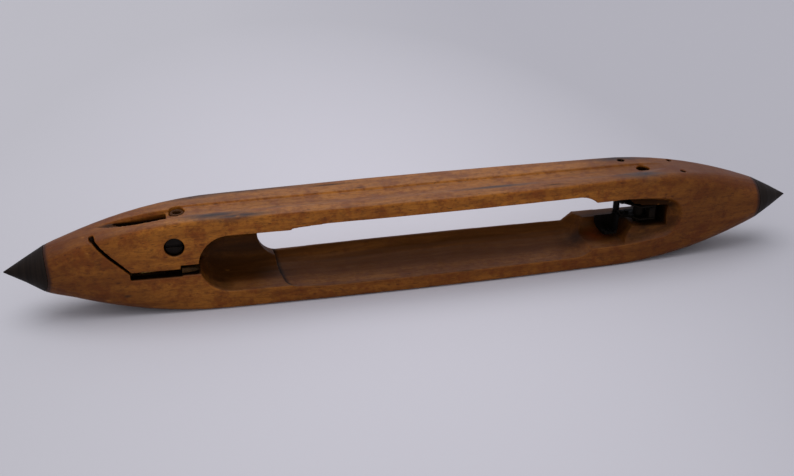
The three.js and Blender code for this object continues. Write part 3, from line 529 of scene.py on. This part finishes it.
# Painted shade on the roof over the mortise, which faces down.
shade_over_mortise = both(hollow, right_end, spread(stain_and_shade, parts.outputs["Z"], *roof_from))
shade_over_mortise = both(shade_over_mortise, spread(stain_and_shade, shaky_depth, *roof_depth, 0.0, roof_most))
black_shade_and_oil = [step_shadow, yarn_slot, eye_recess, wall_holes, mortise, shade_over_mortise]
join(stain_and_shade, highest(stain_and_shade, black_shade_and_oil), result.inputs["Black"])
print("black places joined:", len(black_shade_and_oil))

# %% [markdown]
# ## Where the outside is darker
#
# The wood is lightest along the upper rail and grows darker and redder towards the back wall and the
# two points. Next to each steel point a narrow ring is nearly black. Soft steps over the width and the
# length make that, and cloudy noise keeps their borders from showing. The ring needs a third measure
# on the mesh, the distance from the middle of the bar before the left seam is bent, so that it bends
# with the seam.

# %% Group: darker back and ends
back_and_ends, given, result = start_group(
    "darker_back_and_ends",
    [("Vector", "Vector", None), ("From middle", "Float", 0.0)],
    [("Dark", "Float"), ("Ring", "Float")],
)
drift_size, drift_up, drift_along, ring_rag = 22.0, 0.03, 0.05, 0.002
back_from, back_most = (0.008, 0.040), 0.62
left_from, left_most = (-0.128, -0.200), 0.9
right_from, right_most = (0.065, 0.170), 1.0
tilt = 0.8
ring_from = (0.1822, 0.1836)

parts = place(back_and_ends, "SeparateXYZ", Vector=given.outputs["Vector"])
cloudy = noise(back_and_ends, given.outputs["Vector"], drift_size, detail=4.0, roughness=0.6)
drift = calc(back_and_ends, "SUBTRACT", cloudy, 0.5)
low_down = calc(back_and_ends, "ADD", parts.outputs["Z"], calc(back_and_ends, "MULTIPLY", drift, drift_up))
towards_back = spread(back_and_ends, low_down, *back_from, back_most, 0.0)
along_bar = calc(back_and_ends, "ADD", parts.outputs["X"], calc(back_and_ends, "MULTIPLY", drift, drift_along))
tilted = calc(back_and_ends, "MULTIPLY", calc(back_and_ends, "SUBTRACT", parts.outputs["Z"], axis_height), tilt)
along_bar = calc(back_and_ends, "ADD", along_bar, tilted)
towards_left = spread(back_and_ends, along_bar, *left_from, 0.0, left_most)
towards_right = spread(back_and_ends, along_bar, *right_from, 0.0, right_most)
darkened = calc(back_and_ends, "MAXIMUM", towards_left, towards_right)
join(back_and_ends, calc(back_and_ends, "ADD", darkened, towards_back, clamp=True), result.inputs["Dark"])
ragged = calc(back_and_ends, "ADD", given.outputs["From middle"], calc(back_and_ends, "MULTIPLY", drift, ring_rag))
join(back_and_ends, spread(back_and_ends, ragged, *ring_from), result.inputs["Ring"])
print("group", back_and_ends.name)

# %% [markdown]
# ## Smears and dents
#
# Oil from the shuttle box has left a few blue-grey smears on the front wall, and knocks have left short
# dark dents beside them. Each is a small ellipsoid in the bar's own space: the distance from its middle,
# measured in its own half sizes, gives a soft mask, and noise tears the edge of the mask. Stretched
# noise makes the torn parts run along the grain.

# %% Group: smears
smeared, given, result = start_group(
    "smears_and_dents",
    [("Vector", "Vector", None), ("Tear size", "Float", 420.0)],
    [("Smears", "Float"), ("Dents", "Float")],
)
smear_places = [
    ((-104, -11, 50), (20, 5, 5)), ((-92, -13.5, 50), (22, 3, 4)), ((38, -8.5, 50), (26, 3.2, 4)),
    ((114, -10, 49), (17, 5.0, 6)), ((115, -10, 49.5), (14, 5.6, 8)), ((-92, 15.5, 50), (56, 5.5, 6)),
    ((-113, 14, 50), (24, 6, 7)), ((112, 12, 50), (22, 5, 4)),
]
dent_places = [
    ((-45, 11.2, 50), (14, 1.5, 2)), ((-73, -6.2, 50), (4, 1.6, 2)), ((-76, -7.0, 50), (3, 1.0, 2)),
    ((-83, -17, 8.8), (4.5, 2, 1.6)), ((-30, 5, 50), (3, 0.8, 2)), ((66, -13, 50), (8, 0.9, 2)),
    ((-148, -13.5, 12), (3, 2, 1.2)), ((20, -17, 8), (5, 2, 0.9)),
]
tear_length = 0.22
smear_tear, dent_tear = (0.25, 0.45), (0.26, 0.44)
torn_by = stretched(smeared, given.outputs["Vector"], (tear_length, 1.0, 1.0))
torn = noise(smeared, torn_by, given.outputs["Tear size"], detail=4.0, roughness=0.65)
for output, places, tear in (("Smears", smear_places, smear_tear), ("Dents", dent_places, dent_tear)):
    spots = highest(smeared, [soft_spot(smeared, given.outputs["Vector"], *spot) for spot in places])
    join(smeared, calc(smeared, "MULTIPLY", spots, spread(smeared, torn, *tear)), result.inputs[output])
print("group", smeared.name, "with", len(smear_places), "smears and", len(dent_places), "dents")

# %% [markdown]
# ## Oiled, varnished wood: its grain
#
# The wood is warm golden brown with an old, thin varnish. The streaks, fibres and vessels of the grain
# drive its colour, with cloudy red patches and small dark speckles over them. One mixed noise could
# stand for all of that, but each part has its own size and direction on the real bar. So each is laid
# over the last as a tone, through its own mask and as far as its own amount.

# %% Finish: wood, its grain
wood, tree, shader, where = start_material("wood")
grained = use_group(tree, grain, Vector=where, Streak_size=170.0, Fibre_size=1300.0, Vessel_amount=0.35)


def share(mask, amount):
    """A part of a mask."""
    return calc(tree, "MULTIPLY", mask, amount)


def lay(colour, layers):
    """Lays tones over a colour, each through its mask and as far as its amount."""
    for mask, amount, tone in layers:
        colour = mix(tree, share(mask, amount), colour, rgb(*tone))
    return colour


streak_edge = (0.36, 0.64)
patch_size, cloud_size, speckle_size, speckle_length = 130.0, 16.0, 620.0, 0.5
dark_streak, pale_streak = rgb(133, 77, 22), rgb(176, 110, 39)
patchy = noise(tree, where, patch_size, detail=6.0, roughness=0.72)
cloud = noise(tree, where, cloud_size, detail=3.0)
short = stretched(tree, where, (speckle_length, 1.0, 1.0))
speckled = noise(tree, short, speckle_size, detail=4.0, roughness=0.7)
colour = mix(tree, spread(tree, grained["Streaks"], *streak_edge), dark_streak, pale_streak)
colour = lay(colour, [
    (spread(tree, patchy, 0.46, 0.60), 0.62, (112, 49, 14)),
    (spread(tree, cloud, 0.4, 0.7), 0.3, (104, 48, 13)),
    (spread(tree, grained["Fibres"], 0.48, 0.72), 0.34, (84, 42, 11)),
    (grained["Vessels"], 0.6, (50, 25, 8)),
    (spread(tree, speckled, 0.48, 0.66), 0.45, (72, 38, 14)),
])
print("grain of", wood.name)

# %% [markdown]
# ## Oiled, varnished wood: what use has left, and painted sheen and shade
#
# Over the grain lie pale dust and a painted sheen on what faces straight up, a darkening towards the
# back wall and the points, blue-grey smears, dents, the stain of the hollows with painted shade in it,
# an oily and a rusty spot beside the clip, and the wear of the edges, with grime and painted shade in
# the corners. Their order matters as it does on the real wood: the stain covers the dust, and the worn
# edge comes last.

# %% Finish: wood, what use has left
used = use_group(tree, wear, Vector=where, Patch_size=90.0)
under_skin = place(tree, "Attribute", {"attribute_name": "under_skin"}).outputs["Fac"]
behind_mouth = place(tree, "Attribute", {"attribute_name": "behind_mouth"}).outputs["Fac"]
unbent = place(tree, "Attribute", {"attribute_name": "from_middle"}).outputs["Fac"]
stain_and_shade_masks = use_group(tree, stain_and_shade, Vector=where, Under_skin=under_skin, Behind_mouth=behind_mouth)
darkened = use_group(tree, back_and_ends, Vector=where, From_middle=unbent)
marked = use_group(tree, smeared, Vector=where, Tear_size=420.0)

inside, darkening_outside, darkening_inside = (0.0005, 0.0030), 0.66, 0.38
ends_from, dust_and_sheen_at_ends = (0.120, 0.165), 0.25
facing = place(tree, "SeparateXYZ", Vector=place(tree, "NewGeometry").outputs["Normal"]).outputs["Z"]
from_middle = calc(tree, "ABSOLUTE", place(tree, "SeparateXYZ", Vector=where).outputs["X"])
# Pale dust and a painted sheen on what faces up, less of both at the ends.
dust_and_sheen = share(spread(tree, facing, 0.55, 0.95), spread(tree, speckled, 0.36, 0.62, 1.0, 0.45))
dust_and_sheen = share(dust_and_sheen, spread(tree, from_middle, *ends_from, 1.0, dust_and_sheen_at_ends))
top_of_ends = share(spread(tree, facing, 0.5, 0.9), spread(tree, from_middle, *ends_from))
darkening_here = spread(tree, under_skin, *inside, darkening_outside, darkening_inside)
soaked = spread(tree, grained["Streaks"], *streak_edge, 0.92, 0.6)
oily = soft_spot(tree, where, (84, 1, 12), (14, 11, 8))
rusty = soft_spot(tree, where, (96, -1, 12), (9, 8, 6))
colour = lay(colour, [
    # Dust and painted sheen on what faces up.
    (dust_and_sheen, 0.38, (98, 89, 82)),
    (darkened["Dark"], darkening_here, (62, 26, 4)),
    (top_of_ends, 0.5, (78, 38, 12)),
    (marked["Smears"], 0.9, (52, 49, 52)),
    (marked["Dents"], 0.8, (40, 24, 15)),
    # Stain and painted shade of the hollows: brown, then very dark brown.
    (stain_and_shade_masks["Stain and shade"], soaked, (96, 52, 11)),
    (stain_and_shade_masks["Deep"], share(soaked, 0.94), (40, 21, 4)),
    (oily, spread(tree, patchy, 0.40, 0.56, 0.35, 0.75), (34, 16, 6)),
    (rusty, spread(tree, patchy, 0.40, 0.56, 0.2, 0.6), (122, 50, 14)),
    # Black: oil and painted shade in the holes, and the painted shadow under the step.
    (stain_and_shade_masks["Black"], 1.0, (10, 6, 3)),
    (used["Worn"], 0.3, (176, 116, 56)),
    # Grime and painted shade in the corners.
    (used["Grime and shade"], 0.75, (22, 11, 6)),
    (darkened["Ring"], 0.85, (34, 18, 15)),
])
join(tree, colour, shader.inputs["Base Color"])
print("colour of", wood.name)

# %% [markdown]
# ## Oiled, varnished wood: gloss and relief
#
# A weak gloss with a little clear coat gives the old varnish, and only on the outside, because the
# hollows have lost theirs. The fibres stand up a little, the vessels and dents lie low. That relief is
# far too fine for the mesh, so a Bump node turns it into tilted normals.

# %% Finish: wood, gloss and relief
patch_edge, smooth, rough = (0.3, 0.7), 0.38, 0.52
join(tree, spread(tree, used["Patches"], *patch_edge, smooth, rough), shader.inputs["Roughness"])
shader.inputs["Specular IOR Level"].default_value = 0.08
varnish_outside = 0.12
join(tree, spread(tree, under_skin, *inside, varnish_outside, 0.0), shader.inputs["Coat Weight"])
shader.inputs["Coat Roughness"].default_value = 0.3
fibre_height = 0.35
height = calc(tree, "SUBTRACT", share(grained["Fibres"], fibre_height), grained["Vessels"])
height = calc(tree, "SUBTRACT", height, marked["Dents"])
bump = place(tree, "Bump", Strength=0.3, Distance=0.14 * MM, Height=height)
join(tree, bump.outputs["Normal"], shader.inputs["Normal"])
print("finish", wood.name)

# %% [markdown]
# ## Steels and brass
#
# Eight metals differ only in their colour, how dull they are, how mottled, and how their scratches run,
# so a short function makes each from the same marks. The turned points have rings round them: their
# scratch noise is squeezed along the shuttle. The springs are blackened, which a low metallic value and
# a dark colour show better than a mirror would.

# %% Finish: metals
scratch_size, patch_size = 2500.0, 160.0
scratch_edge, worn_share, worn_gain = (0.35, 0.7), 0.6, 2.2
spot_dull, spot_dull_spread = 0.08, 0.18


def metal_finish(name, dark, pale, metallic, dull, run=(1, 1, 1), gloss=0.5, mottle=0.45, spots=260.0):
    material, tree, shader, where = start_material(name)
    shader.inputs["Specular IOR Level"].default_value = gloss
    along_run = stretched(tree, where, run)
    marked = use_group(tree, marks, Vector=along_run, Scratch_size=scratch_size, Spot_size=spots)
    used = use_group(tree, wear, Vector=where, Patch_size=patch_size)
    rubbed = tuple(min(1.0, worn_gain * channel) for channel in pale[:3]) + (1.0,)
    colour = mix(tree, spread(tree, marked["Scratches"], *scratch_edge), dark, pale)
    colour = mix(tree, calc(tree, "MULTIPLY", marked["Spots"], mottle), colour, dark)
    colour = mix(tree, calc(tree, "MULTIPLY", used["Worn"], worn_share), colour, rubbed)
    join(tree, colour, shader.inputs["Base Color"])
    shader.inputs["Metallic"].default_value = metallic
    more_dull = calc(tree, "MULTIPLY", marked["Spots"], spot_dull_spread)
    join(tree, calc(tree, "ADD", dull - spot_dull, more_dull), shader.inputs["Roughness"])
    bump = place(tree, "Bump", Strength=0.4, Distance=0.04 * MM, Height=marked["Scratches"])
    join(tree, bump.outputs["Normal"], shader.inputs["Normal"])
    print("finish", material.name)
    return material


rings, lengthwise, upright = (1, 0.03, 0.03), (0.1, 1, 1), (1, 1, 0.1)
metals = {
    "tip_steel": (rgb(20, 14, 10), rgb(34, 25, 19), 0.2, 0.58, {"run": rings, "gloss": 0.12}),
    # The iron block's pale golden spots are mottled iron and partly painted reflections on its tongue.
    "block_iron": (
        rgb(8, 4, 2), rgb(72, 49, 24), 0.2, 0.5, {"gloss": 0.1, "mottle": 0.97, "spots": 620.0},
    ),
    "screw_steel": (rgb(8, 5, 3), rgb(27, 17, 10), 0.2, 0.6, {"gloss": 0.15}),
    "eye_steel": (rgb(50, 28, 11), rgb(82, 49, 21), 0.1, 0.35, {"gloss": 0.12}),
    "leaf_brass": (rgb(120, 90, 44), rgb(190, 152, 86), 0.9, 0.35, {}),
    "clip_steel": (rgb(7, 5, 3), rgb(20, 14, 9), 0.1, 0.6, {"run": lengthwise, "gloss": 0.06}),
    "bolt_steel": (rgb(12, 8, 6), rgb(28, 20, 14), 0.2, 0.5, {"gloss": 0.12}),
    "pin_steel": (rgb(7, 5, 4), rgb(20, 16, 13), 0.2, 0.5, {"run": upright, "gloss": 0.12}),
}
finishes = {"wood": wood}
for name, (dark, pale, metallic, dull, settings) in metals.items():
    finishes[name] = metal_finish(name, dark, pale, metallic, dull, **settings)

# %% [markdown]
# ## Dress the CAD pieces
#
# Each CAD node names the finish that it takes. Its mesh is never changed, so its object only gets the
# material in its slot.

# %% Put the finishes on
slot_of = {row["node"]: row["material_slot"] for row in frame["record"]["subparts"]}
for name, node in frame["nodes"].items():
    node.data.materials.clear()
    node.data.materials.append(finishes[slot_of[name]])
print("dressed", len(slot_of), "nodes")

# %% [markdown]
# ## Pieces that stand for CAD nodes
#
# A CAD node is cut sharp, as a drawing is. Years of use have rounded the real one. A piece that stands
# for a node starts as a copy of its mesh or as a new shape, takes its finish, rides on the same body
# and hides the node. These helpers do that, and measure what was made.

# %% Helpers for new pieces
bodies = frame["record"]["behaviour"]["bodies"]
body_of_node = {name: body for body, names in bodies.items() for name in names}
smooth_below, flat_below = math.radians(32), math.radians(0.5)
same_place = MM / 1000


def triangles_in(mesh):
    return sum(len(face.vertices) - 2 for face in mesh.polygons)


def shade(piece):
    """Smooth shading, with edges kept crisp where the faces meet at more than a small angle."""
    piece.data.shade_smooth()
    piece.data.set_sharp_from_angle(angle=smooth_below)


def make_piece(name, shape, node):
    """Turns a bmesh into a piece that stands for a CAD node."""
    mesh = bpy.data.meshes.new(name)
    shape.to_mesh(mesh)
    shape.free()
    mesh.materials.append(finishes[slot_of[node]])
    piece = bpy.data.objects.new(name, mesh)
    scene.collection.objects.link(piece)
    shade(piece)
    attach(piece, body_of_node[node])
    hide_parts(node)
    print(name, "stands for", node, "with", triangles_in(mesh), "triangles")
    return piece


def copy_of(node):
    """A bmesh copy of a CAD node's mesh, with its loose triangles joined and its flat faces whole."""
    shape = bmesh.new()
    shape.from_mesh(frame["nodes"][node].data)
    bmesh.ops.remove_doubles(shape, verts=shape.verts, dist=same_place)
    bmesh.ops.dissolve_limit(shape, angle_limit=flat_below, verts=shape.verts, edges=shape.edges)
    return shape


def round_edges(shape, width, parts=3, sharper_than=33):
    """Rounds every edge whose faces meet at more than an angle in degrees."""
    sharp = math.radians(sharper_than)
    edges = [e for e in shape.edges if len(e.link_faces) == 2 and e.calc_face_angle(0) > sharp]
    bmesh.ops.bevel(
        shape, geom=edges, offset=width, offset_type="OFFSET", segments=parts, profile=0.5,
        affect="EDGES", clamp_overlap=True, material=-1,
    )
    return shape


def turned(profile, centre, along, steps=64):
    """Spins a line of (radius, height) points, in millimetres, round an axis through centre."""
    shape = bmesh.new()
    points = [shape.verts.new((radius * MM, 0, height * MM)) for radius, height in profile]
    edges = [shape.edges.new(pair) for pair in zip(points, points[1:])]
    bmesh.ops.spin(
        shape, geom=points + edges, cent=(0, 0, 0), axis=(0, 0, 1), angle=2 * math.pi, steps=steps,
        use_merge=True,
    )
    bmesh.ops.remove_doubles(shape, verts=shape.verts, dist=same_place)
    turn_to = Vector((0, 0, 1)).rotation_difference(Vector(along)).to_matrix().to_4x4()
    bmesh.ops.transform(shape, matrix=Matrix.Translation(Vector(centre) * MM) @ turn_to, verts=shape.verts)
    bmesh.ops.recalc_face_normals(shape, faces=shape.faces)
    return shape


def finish_with(piece, kind, **settings):
    """Adds a modifier, applies it, and keeps the finish."""
    modifier = piece.modifiers.new(kind.lower(), kind)
    for name, value in settings.items():
        setattr(modifier, name, value)
    view = bpy.context.evaluated_depsgraph_get()
    made = bpy.data.meshes.new_from_object(piece.evaluated_get(view))
    piece.modifiers.clear()
    if not made.materials:
        made.materials.append(piece.data.materials[0])
    piece.data = made


print("piece helpers ready")

# %% [markdown]
# ## The wooden body, worn round
#
# Real edges on this shuttle are rubbed to a soft curve, the outer ones most. Bevelling each edge of a
# form with so many cuts would leave odd corners. Instead, a copy of the CAD body is filled with small
# cells of 0.4 mm and skinned again, and a few passes of smoothing draw the new skin's edges in. Flat
# places stay flat. Decimate then takes out the points that add nothing.

# %% Body
cell_size, smooth_passes, kept_share = 0.4 * MM, 4, 0.17
wooden_body = make_piece("wooden_body", copy_of("shuttle_body"), "shuttle_body")
finish_with(wooden_body, "REMESH", mode="VOXEL", voxel_size=cell_size)
finish_with(wooden_body, "SMOOTH", factor=0.5, iterations=smooth_passes)
finish_with(wooden_body, "DECIMATE", decimate_type="COLLAPSE", ratio=kept_share)
wooden_body.data.shade_smooth()
print("wooden body:", triangles_in(wooden_body.data), "triangles")

# %% [markdown]
# ## How deep each point lies
#
# The stain in the wood's finish needs to know what is inside. The bar is round outwards everywhere,
# so its outer skin is what a sheet of rubber stretched round it would be: its convex hull. The distance
# from a point to the hull is its depth under the skin, and the distance to the hull straight out of the
# mouth is its depth behind the mouth face. Both are kept on the mesh, as attributes that its finish
# reads, and so is the distance from the middle of the bar, for the dark rings beside the steel points.

# %% Measure the depths
def measure_depths(mesh):
    hull = bmesh.new()
    for vertex in mesh.vertices:
        hull.verts.new(vertex.co)
    bmesh.ops.convex_hull(hull, input=hull.verts)
    skin = BVHTree.FromBMesh(hull)
    hull.free()
    under = mesh.attributes.new("under_skin", "FLOAT", "POINT")
    behind = mesh.attributes.new("behind_mouth", "FLOAT", "POINT")
    from_middle = mesh.attributes.new("from_middle", "FLOAT", "POINT")
    out_of_mouth = Vector((0, -1, 0))
    for vertex in mesh.vertices:
        nearest = skin.find_nearest(vertex.co)
        outwards = skin.ray_cast(vertex.co, out_of_mouth)
        under.data[vertex.index].value = nearest[3]
        behind.data[vertex.index].value = outwards[3] or 0.0
        from_middle.data[vertex.index].value = abs(vertex.co.x)
    print("deepest point under the skin:", round(max(item.value for item in under.data) / MM, 1), "mm")


measure_depths(wooden_body.data)

# %% [markdown]
# ## The left joint isn't square
#
# Where the left point meets the wood, the seam isn't a flat circle: it runs nearer to the point at the
# top and still nearer at the bottom, and bulges a little towards the wood at the front. Two matching
# curved faces could be modelled, but they would have to fit exactly. Instead, the same small shift along
# the shuttle is given to the points of both pieces, full at the seam and gone 12 mm from it, so the seam
# stays closed.

# %% A helper that bends the seam
seat, seam_radius, seam_reach, axis_up = 184.6, 11.3, 12.0, 25
lean_at_top, lean_at_bottom, bulge_in_front = -0.7, -2.8, 0.6


def bend_left_seam(mesh):
    moved = 0
    for vertex in mesh.vertices:
        x, y, z = vertex.co / MM
        nearness = 1 - abs(x + seat) / seam_reach
        if nearness <= 0:
            continue
        across, upwards = min(1.0, max(-1.0, y / seam_radius)), (z - axis_up) / seam_radius
        shift = lean_at_top * max(0.0, upwards) ** 2 + lean_at_bottom * min(0.0, upwards) ** 2
        shift += bulge_in_front * min(0.0, across) ** 2
        vertex.co.x += shift * nearness * nearness * (3 - 2 * nearness) * MM
        moved += 1
    print("bent", moved, "points near the left seam of", mesh.name)


bend_left_seam(wooden_body.data)

# %% [markdown]
# ## The steel points
#
# Each point is a cone turned from one bar, with a shank that is driven into the wood. Its end is
# blunted by use and its rim is broken. A lathe is imitated best by spinning the profile round the
# axis, and a small bevel then breaks the rim.

# %% Points
shank = [(0, -22), (3.4, -22), (4.2, -21.2), (4.2, 0)]
cone = [(11.28, 0), (6.0, 10.1), (0.55, 19.7), (0.3, 20.2), (0, 20.35)]
broken_rim = 0.25 * MM
for side, name in ((-1, "left"), (1, "right")):
    shape = turned(shank + cone, (side * seat, 0, axis_up), (side, 0, 0), steps=96)
    shape = round_edges(shape, broken_rim, sharper_than=50)
    point_piece = make_piece(f"{name}_point", shape, f"{name}_tip")
    if name == "left":
        bend_left_seam(point_piece.data)

# %% [markdown]
# ## The eye
#
# The yarn leaves through a smooth ring in the front wall. Its mouth is flared, so that the yarn never
# runs over an edge, and the yarn has polished it. Spun from a profile with a round lip it has no
# seam, and its shading is smooth all the way round.

# %% Eye
eye_x, eye_y, eye_foot = -121.2, 0.2, 41.0
bore, outside, straight = 1.9, 3.6, 5.9
lip_width, lip_height = 0.85, 1.2
quarter = [step * math.pi / 16 for step in range(9)]
lip = [(lip_width * (1 - math.cos(a)), straight + lip_height * math.sin(a)) for a in quarter]
inner_lip = [(bore + inwards, height) for inwards, height in lip]
outer_lip = [(outside - inwards, height) for inwards, height in reversed(lip[:-1])]
eye_profile = [(bore, 0), *inner_lip, *outer_lip, (outside, 0), (bore, 0)]
make_piece("yarn_eye", turned(eye_profile, (eye_x, eye_y, eye_foot), (0, 0, 1), steps=72), "thread_eye")

# %% [markdown]
# ## The cross pins
#
# Round bars with flat ends in the CAD are round bars with broken ends in the workshop. A bevelled copy
# would do, but a pin is quicker to turn. Each is spun anew along its own axis, from the box of its CAD
# node, so that it keeps its place and its length exactly.

# %% Cross pins
broken_end = 0.3
for node in ("stop_pin", "far_end_pin", "near_end_pin"):
    low, high = (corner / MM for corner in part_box(node))
    radius, length = (high.x - low.x) / 2, high.z - low.z
    foot = ((low.x + high.x) / 2, (low.y + high.y) / 2, low.z)
    lower_end = [(0, 0), (radius - broken_end, 0), (radius, broken_end)]
    upper_end = [(radius, length - broken_end), (radius - broken_end, length), (0, length)]
    make_piece(f"{node}_bar", turned(lower_end + upper_end, foot, (0, 0, 1), steps=48), node)

# %% [markdown]
# ## Small iron and steel parts
#
# The threading block, the screws, the clip and its rivets keep the form of their CAD nodes. What they
# lack is the broken edge that catches a thread of light. The flat faces of each copy are made whole
# first, because a bevel across a fan of thin triangles would pinch, and then every sharp edge is
# rounded by a width that suits the part.

# %% Rounded copies
edge_of = {
    "threading_block": 0.3, "threading_block_screw": 0.3, "tension_leaf": 0.12, "tension_leaf_screw": 0.15,
    "clip_base": 0.3, "clip_base_rivet": 0.2, "clip_spacer": 0.25, "clip_bolt": 0.3, "clip_washer": 0.15,
    "clip_nut": 0.25,
}
for side in ("upper", "lower"):
    edge_of.update({f"{side}_spring_arm": 0.2, f"{side}_jaw": 0.22})
    edge_of.update({f"{side}_jaw_rivet_1": 0.2, f"{side}_jaw_rivet_2": 0.2})
for node, width in edge_of.items():
    make_piece(f"{node}_rounded", round_edges(copy_of(node), width * MM), node)
